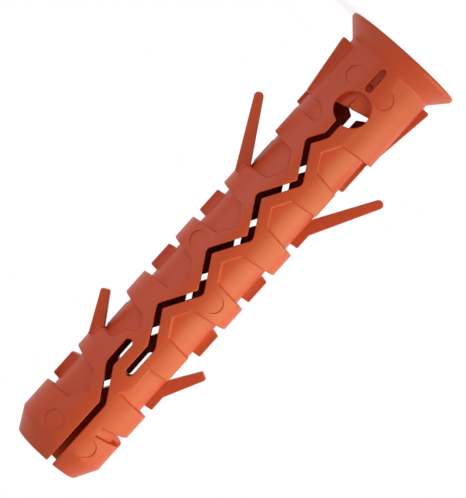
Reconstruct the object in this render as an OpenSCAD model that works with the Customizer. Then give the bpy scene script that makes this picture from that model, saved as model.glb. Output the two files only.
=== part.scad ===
// Scaffold anchor plug: one injection-moulded nylon sleeve in two slit halves.
// It stands on its collar. Z runs from the collar's outer face to the tip.
// Each face is drawn as [x, z] with the viewer on the +Y side, and the mould
// opens along Y, so both faces are the same outlines, turned half round.

/* [Body] */
// Length from the collar's face to the tip
plug_len = 75; // [72:1:90]
// Diameter of the body over its raised teeth
body_d = 13.9; // [13:0.1:16]
// Length of the tapered tip
tip_len = 3.2; // [2:0.1:4]
// Diameter of the flat end of the tip
tip_d = 10.4; // [9:0.1:12]

/* [Collar] */
// Diameter of the collar's rim
collar_d = 18.4; // [17:0.1:24]
// Height of the straight land on the rim
rim_h = 0.55; // [0.3:0.05:1]
// Height of the collar down to the body
collar_h = 3; // [2.5:0.05:3.4]

/* [Screw bore] */
// Diameter of the countersunk mouth
mouth_d = 12.6; // [11.5:0.1:13]
// Depth of the countersink
mouth_h = 2; // [1:0.1:3]
// Diameter of the plain neck that takes the screw's shank
neck_d = 10; // [9:0.1:10.6]
// Depth at which the plain neck ends
neck_end = 7.7; // [6:0.1:8]
// Diameter of the bore just past the window
throat_d = 8.8; // [7:0.1:9.6]
// Diameter of the bore where the gripping part starts
grip_bore_d = 5.8; // [5.6:0.1:6.5]
// Diameter of the bore at the tip
tip_bore_d = 5; // [4.9:0.1:5.6]

/* [Teeth and pockets] */
// Height at which the gripping part starts
grip_start = 15.3; // [15:0.1:16.5]
// Length of one tooth or pocket along the plug
pitch = 5.1; // [4.8:0.05:5.4]
// Teeth and pockets along one flank
rows = 10; // [10:2:12]
// Depth of a pocket under the body's surface
pocket_depth = 1.2; // [0.6:0.05:1.3]
// How far a pocket's ends flare along the plug at the flank
flare = 0.65; // [0.2:0.05:0.9]
// Depth of the shallow pocket above the first tooth
lead_depth = 0.55; // [0.3:0.05:0.9]

/* [Slits] */
// Width of the zigzag slit
slit_w = 0.86; // [0.6:0.02:1]
// Width of the zigzag slit at its closed end beside the tongue
slit_end_w = 1.12; // [0.8:0.02:1.3]
// Width of the second slit at its closed end
second_w = 1.16; // [0.8:0.02:1.3]
// Width of the straight slit through the tip
tip_slit_w = 0.92; // [0.6:0.02:1.1]
// Middle of the zigzag beside the axis
slit_mid = -0.475; // [-0.8:0.025:-0.2]
// Swing of the zigzag each way from its middle
slit_swing = 1.5; // [1.2:0.025:1.6]
// Width of the band between the slit and a pocket
band_w = 1.9; // [1.4:0.05:2.1]

/* [Window] */
// Radius of the round window in the front face
window_r = 2.6; // [2:0.1:3]
// Height of the window's centre
window_z = 10.6; // [10.2:0.1:10.8]
// Place of the window's centre beside the axis
window_x = -0.39; // [-0.6:0.01:0]
// Depth of the recess that stays closed in the window's upper half
window_recess = 1.3; // [0.8:0.05:1.45]
// Tilt of the edge between the closed and the open half
window_tilt = 14.5; // [0:0.5:25]
// Half width of the pointed window in the back face
back_window_w = 2.1; // [1.4:0.05:2.4]
// Height at which the pointed window starts
back_window_z = 8.9; // [8.6:0.1:9.2]
// Height of the window's point, where the slit leaves it
back_window_end = 11.2; // [10.8:0.05:11.6]

/* [Key slot] */
// Width of the blind slot under the collar
key_w = 1.05; // [0.8:0.05:1.4]
// Height at which the blind slot starts
key_start = 3.6; // [3.4:0.1:4]
// Height at which the blind slot ends
key_end = 7.45; // [6.5:0.05:7.5]
// Depth of the blind slot
key_depth = 1; // [0.5:0.1:1.1]

/* [Wings and ribs] */
// Thickness of the wings and ribs, measured from the parting plane
wing_w = 2.6; // [1.5:0.1:3]
// Reach of the long wings from the axis
long_reach = 12.2; // [10:0.1:14]
// How far the long wing's tip lies back from its root along the plug
long_drop = 8; // [6:0.1:9]
// Reach of the short wings from the axis
short_reach = 9.8; // [8.5:0.1:11]
// How far the short wing's tip lies back from its root along the plug
short_drop = 3.8; // [3:0.1:5]
// Thickness of a wing at its tip
wing_tip_t = 1.3; // [0.9:0.05:1.6]
// Reach of the tapered rib under the collar
rib_reach = 8.1; // [7.5:0.05:8.8]
// Height at which the tapered rib starts
rib_start = 3.65; // [3.5:0.05:4]
// Height at which the tapered rib has run out
rib_end = 12.6; // [11:0.1:12.8]
// Place of the flat that a folded wing lies on, from the axis
fold_flat = 5.85; // [5.8:0.05:6.3]
// Place of the flat under the long wing's tip, from the axis
fold_tip_flat = 6.4; // [6.3:0.05:6.7]

/* [Ejector marks] */
// Radius of the round marks that the ejector pins leave
pin_r = 1.45; // [1:0.05:2]
// Depth of the marks
pin_depth = 0.1; // [0.05:0.05:0.3]

/* [Hidden] */
$fn = 96;
over = 1;
corner_steps = 4;

// What is cut into the bore starts inside it, this far from the parting plane
in_bore = 0.5;

body_r = body_d / 2;
floor_r = body_r - pocket_depth;
lead_r = body_r - lead_depth;
clear_r = collar_d / 2 + over;
tip_start = plug_len - tip_len;
grip_end = grip_start + rows * pitch;

// Turns of the main slit, which ends beside the tongue two rows before the last
turns = rows - 3;
slit_half = slit_w / 2;
slit_turn_w = slit_half * sqrt(1 + pow(2 * slit_swing / pitch, 2));
band_reach = slit_turn_w + band_w;

// The slits beside the tongue, and the straight one through the tip
straight_x = slit_mid - 0.115;
tongue_x = slit_mid + slit_swing;
second_x = slit_mid - 1.325;
tip_slit_x = slit_mid + 1.615;
second_start = middle(turns) + 1.05;
second_turn = middle(turns + 1) + 0.35;

// Height of the edge between two rows, and of the middle of a row
function edge(k) = grip_start + k * pitch;
function middle(k) = edge(k) + pitch / 2;

// The slit's turning points: to the left in even rows, to the right in odd rows
function turn_x(k) = slit_mid + (k % 2 == 0 ? -slit_swing : slit_swing);

// An outline whose corners, each given as [x, z, radius], are rounded
function unit(v) = v / norm(v);
function flat(p) = [p[0], p[1]];
function angle_of(v) = atan2(v[1], v[0]);
function wrap(a) = a > 180 ? a - 360 : (a < -180 ? a + 360 : a);
function round_corner(a, b, c) =
    let (u = unit(flat(a) - flat(b)), v = unit(flat(c) - flat(b)))
    let (half = acos(u * v) / 2, centre = flat(b) + unit(u + v) * b[2] / sin(half))
    let (reach = b[2] / tan(half), start = angle_of(flat(b) + u * reach - centre))
    let (turn = wrap(angle_of(flat(b) + v * reach - centre) - start))
    [for (i = [0 : corner_steps]) let (t = start + turn * i / corner_steps)
        centre + b[2] * [cos(t), sin(t)]];
function rounded(points) =
    let (n = len(points))
    [for (i = [0 : n - 1])
        for (p = points[i][2] == 0 ? [flat(points[i])]
            : round_corner(points[(i + n - 1) % n], points[i], points[(i + 1) % n])) p];

// Draws an outline through the face, from y = 0 at the parting plane outwards
module through_face(from_y = 0, to_y = clear_r) {
    translate([0, to_y, 0]) rotate([90, 0, 0]) linear_extrude(to_y - from_y) children();
}

// A channel along a path of points [x, z, width], sharp on the inside of each
// turn and rounded on the outside, with round ends
function normal_of(v) = [-v[1], v[0]] / norm(v);
function leg(path, i) = flat(path[i] - path[i - 1]);
function turn_at(path, i) =
    i == 0 || i == len(path) - 1 ? 0 : cross(leg(path, i), leg(path, i + 1));
function side_point(path, i, side) =
    let (last = len(path) - 1, d = side * path[i][2] / 2)
    let (n1 = normal_of(leg(path, max(i, 1))))
    let (n2 = normal_of(leg(path, min(i, last - 1) + 1)))
    let (way = unit(n1 + n2), p = flat(path[i]) + way * d / (way * n1))
    [p[0], p[1], i == 0 || i == last ? 0.98 * abs(d)
        : (turn_at(path, i) * d < 0 ? 2 * abs(d) : 0)];
module channel(path) {
    last = len(path) - 1;
    polygon(rounded(concat(
        [for (i = [0 : last]) side_point(path, i, 1)],
        [for (i = [last : -1 : 0]) side_point(path, i, -1)])));
}

module collar_and_body() {
    rotate_extrude() polygon([
        [0, 0], [collar_d / 2, 0], [collar_d / 2, rim_h], [body_r, collar_h],
        [body_r, tip_start], [tip_d / 2, plug_len], [0, plug_len]]);
}

module screw_bore() {
    rotate_extrude() polygon([
        [0, -over], [mouth_d / 2, -over], [mouth_d / 2, 0], [neck_d / 2, mouth_h],
        [neck_d / 2, neck_end], [throat_d / 2, window_z + window_r + 0.5],
        [grip_bore_d / 2, middle(0)], [tip_bore_d / 2, grip_end],
        [tip_bore_d / 2, plug_len + over], [0, plug_len + over]]);
}

// The left flank's tapered rib and two wings, all on this face's side
module flank_shapes() {
    rib_foot = body_r - 1;
    through_face(0, wing_w) polygon([
        [-rib_foot, rib_start], [-rib_reach + 0.15, rib_start],
        [-rib_reach, rib_start + 0.2], [-body_r, rib_end], [-rib_foot, rib_end]]);
    wing(edge(2), long_drop, long_reach, wing_tip_t * 0.48);
    wing(edge(8), short_drop, short_reach, wing_tip_t * 0.2);
}

// A wing that leaves the flank at the given row edge and leans to the collar
module wing(root_z, drop, reach, tip_round) {
    foot_in = body_r - 1.6;
    outer_foot = [-body_r, root_z + 2];
    inner_foot = [-fold_flat + 0.05, root_z];
    tip = [-reach, root_z - drop];
    along = unit(outer_foot - tip);
    inwards = [along[1], -along[0]];
    tip_in = tip + inwards * wing_tip_t;
    through_face(0, wing_w) polygon(rounded([
        [-foot_in, root_z + 2.4, 0], [outer_foot[0], outer_foot[1], 0],
        [tip[0], tip[1], tip_round], [tip_in[0], tip_in[1], tip_round],
        [inner_foot[0], inner_foot[1], 0], [-foot_in, root_z + 0.3, 0]]));
}

// A pocket between two row edges: its point, its two corners and its flared mouth
module pocket(k) {
    side = k % 2 == 0 ? 1 : -1;
    point_x = turn_x(k) + side * band_reach;
    corner_x = point_x + side * slit_swing;
    mouth_x = side * clear_r;
    spread = flare * (clear_r - abs(corner_x)) / (body_r - abs(corner_x));
    polygon([
        [point_x, middle(k)], [corner_x, edge(k)], [mouth_x, edge(k) - spread],
        [mouth_x, edge(k + 1) + spread], [corner_x, edge(k + 1)]]);
}

// The left pocket beside the tongue is cut back round the second slit
module pocket_by_second_slit(k) {
    corner_x = turn_x(k) - band_reach - slit_swing;
    polygon(rounded([
        [corner_x, edge(k), 0], [corner_x + 0.95, edge(k) + 1.6, 0.3],
        [second_x - 0.3, second_start - 1.3, 0.3], [second_x - 1.55, second_start - 0.3, 1],
        [second_x - 1.95, edge(k + 1) - 0.2, 0.5], [second_x - 2.6, edge(k + 1) + 0.15, 0],
        [-clear_r, edge(k + 1) + 0.15, 0], [-clear_r, edge(k) - flare * 1.5, 0]]));
}

// The right pocket beside the tongue is cut back round the end of the main slit
module pocket_by_tongue(k) {
    wall_x = tongue_x + slit_half + 1.48;
    polygon([
        [wall_x, edge(k) - 0.1], [clear_r, edge(k) - flare],
        [clear_r, edge(k + 1) + flare * 1.5], [wall_x - 1.05, edge(k + 1)],
        [wall_x, edge(k + 1) - 1.75]]);
}

// The short pocket that starts the tip ring, on the right flank only
module tip_pocket() {
    left_x = tip_slit_x + 2.2;
    polygon([
        [left_x, grip_end + 0.15], [body_r - 0.6, grip_end - 0.4],
        [clear_r, grip_end - flare * 1.6], [clear_r, grip_end + 0.8],
        [left_x, grip_end + 1.65]]);
}

// The shallow pocket above the first left tooth
module lead_pocket() {
    polygon([
        [-clear_r, rib_end], [-4.1, rib_end + 0.25], [-2.7, rib_end + 1.55],
        [-3.05, grip_start], [-clear_r, grip_start]]);
}

// Everything that is sunk to the pocket floor on one face
module pockets() {
    difference() {
        through_face() {
            for (k = [0 : rows - 1])
                if (k == turns) pocket_by_second_slit(k);
                else if (k == turns + 1) pocket_by_tongue(k);
                else pocket(k);
            tip_pocket();
        }
        cylinder(r = floor_r, h = plug_len);
    }
    difference() {
        through_face() lead_pocket();
        cylinder(r = lead_r, h = plug_len);
    }
}

// The zigzag slit, and the second slit that starts beside its end
module slits() {
    through_face(in_bore) {
        channel(concat(
            [[straight_x, window_z, slit_w], [straight_x, middle(0) - 2.3, slit_w]],
            [for (k = [0 : turns - 1]) [turn_x(k), middle(k), slit_w]],
            [[tongue_x, middle(turns), slit_end_w],
                [tongue_x, middle(turns + 1), slit_end_w]]));
        channel([
            [second_x, second_start, second_w], [second_x, second_turn, second_w - 0.08],
            [tip_slit_x, middle(turns + 2), tip_slit_w],
            [tip_slit_x, plug_len + over, tip_slit_w]]);
    }
}

// The flats that the folded wings lie on, cut across both halves on the left
module fold_flats() {
    for (k = [1, turns])
        translate([-clear_r, -clear_r, edge(k)])
            cube([clear_r - fold_flat, 2 * clear_r, pitch]);
    translate([-clear_r, 0, grip_start])
        cube([clear_r - fold_tip_flat, clear_r, pitch]);
}

// The blind slot under the collar, sunk a little deeper at its lower end
module key_slot() {
    through_face(body_r - key_depth)
        channel([[straight_x, key_start, key_w], [straight_x, key_end, key_w]]);
    through_face(body_r - key_depth - 0.35)
        channel([[straight_x, key_end - 1.1, key_w], [straight_x, key_end, key_w]]);
}

// The window: a round recess that opens into the bore below a tilted edge
module window_front() {
    difference() {
        through_face() translate([window_x, window_z]) circle(r = window_r);
        cylinder(r = body_r - window_recess, h = plug_len);
    }
    through_face(in_bore) intersection() {
        translate([window_x, window_z]) circle(r = window_r);
        translate([window_x, window_z]) rotate(-window_tilt)
            translate([-clear_r, 0]) square([2 * clear_r, clear_r]);
    }
}

// The smaller window behind it, drawn out to a point at the slit
module window_back() {
    shoulder_z = back_window_end - 0.64 * back_window_w;
    through_face(in_bore) translate([straight_x, 0]) polygon(rounded([
        [-back_window_w, back_window_z, 0.4], [back_window_w, back_window_z, 0.4],
        [back_window_w, shoulder_z, 0.3], [0, back_window_end, 0],
        [-back_window_w, shoulder_z, 0.3]]));
}

// The shallow round marks left by the ejector pins
module ejector_marks() {
    difference() {
        through_face()
            for (p = [
                [straight_x - 2.5, 6.75], [straight_x + 2.6, 6.75],
                [-3.95, middle(4) - 0.15], [3.3, middle(5) - 0.05],
                [tip_slit_x - 3.4, grip_end + 3.6], [tip_slit_x + 2.4, grip_end + 3.7]])
                translate(p) circle(r = pin_r);
        cylinder(r = body_r - pin_depth, h = plug_len);
    }
}

module face_cuts() {
    slits();
    key_slot();
    ejector_marks();
}

module both_faces() {
    for (turn = [0, 180]) rotate([0, 0, turn]) children();
}

module plug() color("#c8502f") {
    difference() {
        union() {
            difference() {
                collar_and_body();
                screw_bore();
                both_faces() fold_flats();
                both_faces() pockets();
            }
            both_faces() flank_shapes();
        }
        both_faces() face_cuts();
        rotate([0, 0, 180]) window_front();
        window_back();
    }
}

plug();
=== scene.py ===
# Scaffold anchor plug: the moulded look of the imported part, its light and its camera.
import math
import bmesh
import bpy
from mathutils import Matrix, Vector


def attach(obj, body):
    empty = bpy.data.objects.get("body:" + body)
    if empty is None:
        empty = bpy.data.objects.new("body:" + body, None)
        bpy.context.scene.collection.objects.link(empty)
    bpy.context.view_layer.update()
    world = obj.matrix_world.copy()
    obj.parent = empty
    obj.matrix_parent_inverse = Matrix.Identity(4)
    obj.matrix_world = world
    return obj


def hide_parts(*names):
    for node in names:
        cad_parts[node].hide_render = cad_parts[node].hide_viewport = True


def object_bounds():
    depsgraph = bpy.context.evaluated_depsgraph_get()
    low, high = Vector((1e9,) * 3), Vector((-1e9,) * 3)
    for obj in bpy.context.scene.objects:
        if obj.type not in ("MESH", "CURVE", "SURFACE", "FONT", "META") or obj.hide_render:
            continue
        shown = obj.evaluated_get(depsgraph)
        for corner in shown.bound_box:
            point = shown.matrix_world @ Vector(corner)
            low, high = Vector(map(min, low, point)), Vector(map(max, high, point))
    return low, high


mm = 0.001


# sRGB hex to linear, with alpha 1
def hexColour(code):
    values = [int(code[i:i + 2], 16) / 255 for i in (0, 2, 4)]
    return tuple(v / 12.92 if v <= 0.04045 else ((v + 0.055) / 1.055) ** 2.4 for v in values) + (1.0,)


def addNode(tree, kind, settings=None, links=None):
    node = tree.nodes.new(kind)
    for name, value in (settings or {}).items():
        if name in node.inputs:
            node.inputs[name].default_value = value
        else:
            setattr(node, name, value)
    for name, output in (links or {}).items():
        tree.links.new(output, node.inputs[name])
    return node


def newMaterial(name):
    material = bpy.data.materials.new(name)
    material.use_nodes = True
    material.node_tree.nodes.clear()
    return material, material.node_tree


# the frame

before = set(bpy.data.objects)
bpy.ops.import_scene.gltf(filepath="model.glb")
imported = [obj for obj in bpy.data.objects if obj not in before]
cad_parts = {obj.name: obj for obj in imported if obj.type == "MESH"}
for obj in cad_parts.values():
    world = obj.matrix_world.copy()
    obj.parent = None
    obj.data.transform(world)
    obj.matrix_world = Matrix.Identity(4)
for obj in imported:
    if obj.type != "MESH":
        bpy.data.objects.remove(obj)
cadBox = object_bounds()
print("frame loaded:", sorted(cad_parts))


# the camera, where the photograph's camera was

camera = {
    "distance": 375.7 * mm,
    "azimuth": -0.04,
    "elevation": -1.72,
    "roll": -138.0,
    "focalPixels": 2676.6,
    "imageSize": (466, 498),
    "centreShift": (-8.4, 6.47),  # pixels from the image's centre to the plug's middle
    "sensor": 36.0,
    "near": 10 * mm,
    "far": 5.0,
}


def makeCamera(settings):
    low, high = cadBox
    middle = (low + high) / 2
    turn = math.radians(settings["azimuth"])
    rise = math.radians(settings["elevation"])
    back = Vector((math.sin(turn) * math.cos(rise), -math.cos(turn) * math.cos(rise), math.sin(rise)))
    right = Vector((math.cos(turn), math.sin(turn), 0))
    up = back.cross(right)
    roll = math.radians(settings["roll"])
    rolledRight = right * math.cos(roll) + up * math.sin(roll)
    rolledUp = up * math.cos(roll) - right * math.sin(roll)
    place = middle + back * settings["distance"]
    # the aim is moved so that the plug's middle lands beside the image's centre
    perPixel = settings["distance"] / settings["focalPixels"]
    across, down = settings["centreShift"]
    aim = middle - (rolledRight * across - rolledUp * down) * perPixel
    toCamera = (place - aim).normalized()
    newRight = rolledUp.cross(toCamera).normalized()
    newUp = toCamera.cross(newRight)
    data = bpy.data.cameras.new("productCamera")
    data.sensor_width = settings["sensor"]
    data.lens = settings["focalPixels"] * settings["sensor"] / max(settings["imageSize"])
    data.clip_start = settings["near"]
    data.clip_end = settings["far"]
    shot = bpy.data.objects.new("productCamera", data)
    shot.matrix_world = Matrix((newRight, newUp, toCamera)).transposed().to_4x4()
    shot.location = place
    bpy.context.scene.collection.objects.link(shot)
    bpy.context.scene.camera = shot


makeCamera(camera)
print("camera placed")


# nylon, injection-moulded: a saturated brick red under a satin skin

nylon = {
    "colour": "CC4A20",
    "roughness": 0.45,
    "ior": 1.53,
    "specular": 0.35,
    # a moulding's grain is too fine to show in the picture, so it is drawn coarse
    "grain": 1 / 900,
    "grainDetail": 3.0,
    "grainDepth": 0.03 * mm,
    "grainStrength": 0.15,
}


def mouldedNylon(settings):
    material, tree = newMaterial("mouldedNylon")
    place = addNode(tree, "ShaderNodeTexCoord")
    grain = addNode(tree, "ShaderNodeTexNoise", {
        "Scale": 1 / settings["grain"],
        "Detail": settings["grainDetail"],
    }, {"Vector": place.outputs["Object"]})
    bump = addNode(tree, "ShaderNodeBump", {
        "Strength": settings["grainStrength"],
        "Distance": settings["grainDepth"],
    }, {"Height": grain.outputs[0]})
    skin = addNode(tree, "ShaderNodeBsdfPrincipled", {
        "Base Color": hexColour(settings["colour"]),
        "Roughness": settings["roughness"],
        "IOR": settings["ior"],
        "Specular IOR Level": settings["specular"],
    }, {"Normal": bump.outputs[0]})
    out = addNode(tree, "ShaderNodeOutputMaterial")
    tree.links.new(skin.outputs[0], out.inputs["Surface"])
    return material


# the plug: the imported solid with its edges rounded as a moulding's are

plug = {
    "merge": 0.01 * mm,
    "flat": math.radians(0.2),
    "sharp": math.radians(30),
    "edge": 0.15 * mm,
    "segments": 2,
    # in mm: the body's radius, how near a facet line counts as beside a folded facet, how far
    # a folded facet may stand over the radius, and how exactly a line lies on it
    "bodyRadius": 6.95,
    "slack": 0.25,
    "over": 0.1,
    "exact": 0.03,
    "upright": 0.9,
    # steps too small for a rounding, the flats under the folded wings and the ends of the lead
    # pocket: from and to beside the axis, half depth, from and to along the plug
    "tight": [(5.5, 6.05, 1.5, 0, 75), (6.05, 7.2, 1.0, 11.5, 16.5)],
    # ejector marks on either face, too shallow for a rounding: across, up, radius
    "marks": [(-3.04, 6.75, 1.6), (2.1, 6.75, 1.6), (-3.95, 38.1, 1.6), (3.3, 43.3, 1.6),
              (-2.26, 69.9, 1.6), (3.54, 70.0, 1.6)],
}


def nearMark(edge, marks):
    middle = (edge.verts[0].co + edge.verts[1].co) / 2 / mm
    side = 1 if middle.y > 0 else -1
    return any(math.hypot(middle.x * side - x, middle.z - z) < r for x, z, r in marks)


def inTightBox(edge, boxes):
    middle = (edge.verts[0].co + edge.verts[1].co) / 2 / mm
    return any(near < abs(middle.x) < far and abs(middle.y) < half and low < middle.z < high
               for near, far, half, low, high in boxes)


def roundEdges(shape, settings):
    edges = [e for e in shape.edges if e.smooth and e.calc_face_angle(0) > settings["sharp"]]
    bmesh.ops.bevel(shape, geom=edges, offset=settings["edge"], offset_type="OFFSET", affect="EDGES",
                    segments=settings["segments"], profile=0.5, clamp_overlap=False, material=-1)


def onBody(point, settings, inside):
    return -inside < math.hypot(point.x, point.y) / mm - settings["bodyRadius"] < settings["over"]


# a rounding wider than a facet of the body turns it over, so the lines beside such facets go first
def clearFoldedFacets(shape, settings):
    trial = shape.copy()
    roundEdges(trial, settings)
    bmesh.ops.triangulate(trial, faces=trial.faces)
    folded = []
    for face in trial.faces:
        middle = face.calc_center_median()
        if all(onBody(v.co, settings, settings["slack"]) for v in face.verts):
            if face.normal.x * middle.x + face.normal.y * middle.y < 0:
                heights = [v.co.z for v in face.verts]
                folded.append((math.atan2(middle.y, middle.x), min(heights), max(heights)))
    trial.free()
    lines = []
    reach = settings["slack"] / settings["bodyRadius"]
    for edge in shape.edges:
        start, end = (v.co for v in edge.verts)
        upright = abs(start.z - end.z) > settings["upright"] * edge.calc_length()
        facetLine = upright and edge.calc_face_angle(0) < settings["sharp"]
        if facetLine and all(onBody(p, settings, settings["exact"]) for p in (start, end)):
            turn = math.atan2(start.y + end.y, start.x + end.x)
            bottom, top = sorted((start.z, end.z))
            if any(abs(turn - t) < reach and bottom < high and top > low for t, low, high in folded):
                lines.append(edge)
    bmesh.ops.dissolve_edges(shape, edges=lines, use_verts=True)
    print("facets turned over:", len(folded), "lines cleared:", len(lines))


def makePlug(settings):
    shape = bmesh.new()
    shape.from_mesh(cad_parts["plug"].data)
    bmesh.ops.remove_doubles(shape, verts=shape.verts, dist=settings["merge"])
    bmesh.ops.dissolve_limit(shape, angle_limit=settings["flat"], verts=shape.verts, edges=shape.edges)
    for edge in shape.edges:
        shallow = nearMark(edge, settings["marks"]) or inTightBox(edge, settings["tight"])
        if shallow and edge.calc_face_angle(0) > settings["sharp"]:
            edge.smooth = False
    clearFoldedFacets(shape, settings)
    roundEdges(shape, settings)
    for face in shape.faces:
        face.smooth = True
    mesh = bpy.data.meshes.new("plugMoulding")
    shape.to_mesh(mesh)
    shape.free()
    mesh.materials.append(mouldedNylon(nylon))
    piece = bpy.data.objects.new("plugMoulding", mesh)
    bpy.context.scene.collection.objects.link(piece)
    # the flats keep their own normals, so only the roundings shade round
    shading = piece.modifiers.new("flatsFirst", "WEIGHTED_NORMAL")
    shading.weight = 50
    shading.keep_sharp = True
    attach(piece, "root")
    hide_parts("plug")


makePlug(plug)
print("plug finished")


# light and stage

# a soft panel, where a radiance of 1 is white
def addPanel(name, place, aim, size, radiance, colour):
    data = bpy.data.lights.new(name, "AREA")
    data.shape = "RECTANGLE"
    data.size, data.size_y = size
    data.energy = radiance * math.pi * size[0] * size[1]
    data.color = hexColour(colour)[:3]
    lamp = bpy.data.objects.new(name, data)
    lamp.location = place
    lamp.rotation_mode = "QUATERNION"
    lamp.rotation_quaternion = (Vector(place) - Vector(aim)).to_track_quat("Z", "Y")
    lamp.visible_camera = False
    bpy.context.scene.collection.objects.link(lamp)


# 1 where the camera, a reflection or a clear body looks at the background
def backgroundRay(tree):
    path = addNode(tree, "ShaderNodeLightPath")
    seen = path.outputs["Is Camera Ray"]
    for other in ("Is Glossy Ray", "Is Transmission Ray"):
        either = addNode(tree, "ShaderNodeMath", {"operation": "MAXIMUM"})
        tree.links.new(seen, either.inputs[0])
        tree.links.new(path.outputs[other], either.inputs[1])
        seen = either.outputs[0]
    return seen


stage = {
    "floorRadius": 0.11,
    "floorSides": 96,
    "floorDrop": 0.03 * mm,  # just under the collar, so that the two faces never share a plane
    "floorColour": "E0E2EE",
    "ambient": 0.42,
    "floorGlow": 0.62,
    # name, place, aim, size, radiance, colour
    "panels": [("warmPanel", (-0.16, -0.03, 0.02), (0, 0, 0.015), (0.19, 0.14), 4.3, "F4FFBE"),
               ("coolPanel", (0.14, -0.1, 0.012), (0, 0, 0.008), (0.13, 0.09), 2.15, "FAF2FF")],
}


def makeStage(settings):
    world = bpy.data.worlds.new("studio")
    bpy.context.scene.world = world
    world.use_nodes = True
    tree = world.node_tree
    tree.nodes.clear()
    seen = addNode(tree, "ShaderNodeBackground", {"Color": (1, 1, 1, 1), "Strength": 1.0})
    light = addNode(tree, "ShaderNodeBackground", {"Color": (1, 1, 1, 1), "Strength": settings["ambient"]})
    mix = addNode(tree, "ShaderNodeMixShader", None, {"Fac": backgroundRay(tree)})
    tree.links.new(light.outputs[0], mix.inputs[1])
    tree.links.new(seen.outputs[0], mix.inputs[2])
    out = addNode(tree, "ShaderNodeOutputWorld")
    tree.links.new(mix.outputs[0], out.inputs["Surface"])

    ground = bmesh.new()
    bmesh.ops.create_circle(ground, cap_ends=True, segments=settings["floorSides"],
                            radius=settings["floorRadius"])
    bmesh.ops.translate(ground, verts=ground.verts, vec=(0, 0, -settings["floorDrop"]))
    mesh = bpy.data.meshes.new("floor")
    ground.to_mesh(mesh)
    ground.free()
    floor = bpy.data.objects.new("floor", mesh)
    bpy.context.scene.collection.objects.link(floor)
    material, tree = newMaterial("whiteCard")
    card = addNode(tree, "ShaderNodeBsdfDiffuse", {"Color": hexColour(settings["floorColour"])})
    lift = addNode(tree, "ShaderNodeMath", {"operation": "MULTIPLY"})
    tree.links.new(backgroundRay(tree), lift.inputs[0])
    lift.inputs[1].default_value = settings["floorGlow"]
    glow = addNode(tree, "ShaderNodeEmission", {"Color": (1, 1, 1, 1)}, {"Strength": lift.outputs[0]})
    both = addNode(tree, "ShaderNodeAddShader")
    tree.links.new(card.outputs[0], both.inputs[0])
    tree.links.new(glow.outputs[0], both.inputs[1])
    out = addNode(tree, "ShaderNodeOutputMaterial")
    tree.links.new(both.outputs[0], out.inputs["Surface"])
    mesh.materials.append(material)

    for panel in settings["panels"]:
        addPanel(*panel)


makeStage(stage)
bpy.context.scene.view_settings.view_transform = "Standard"
print("stage and light set")
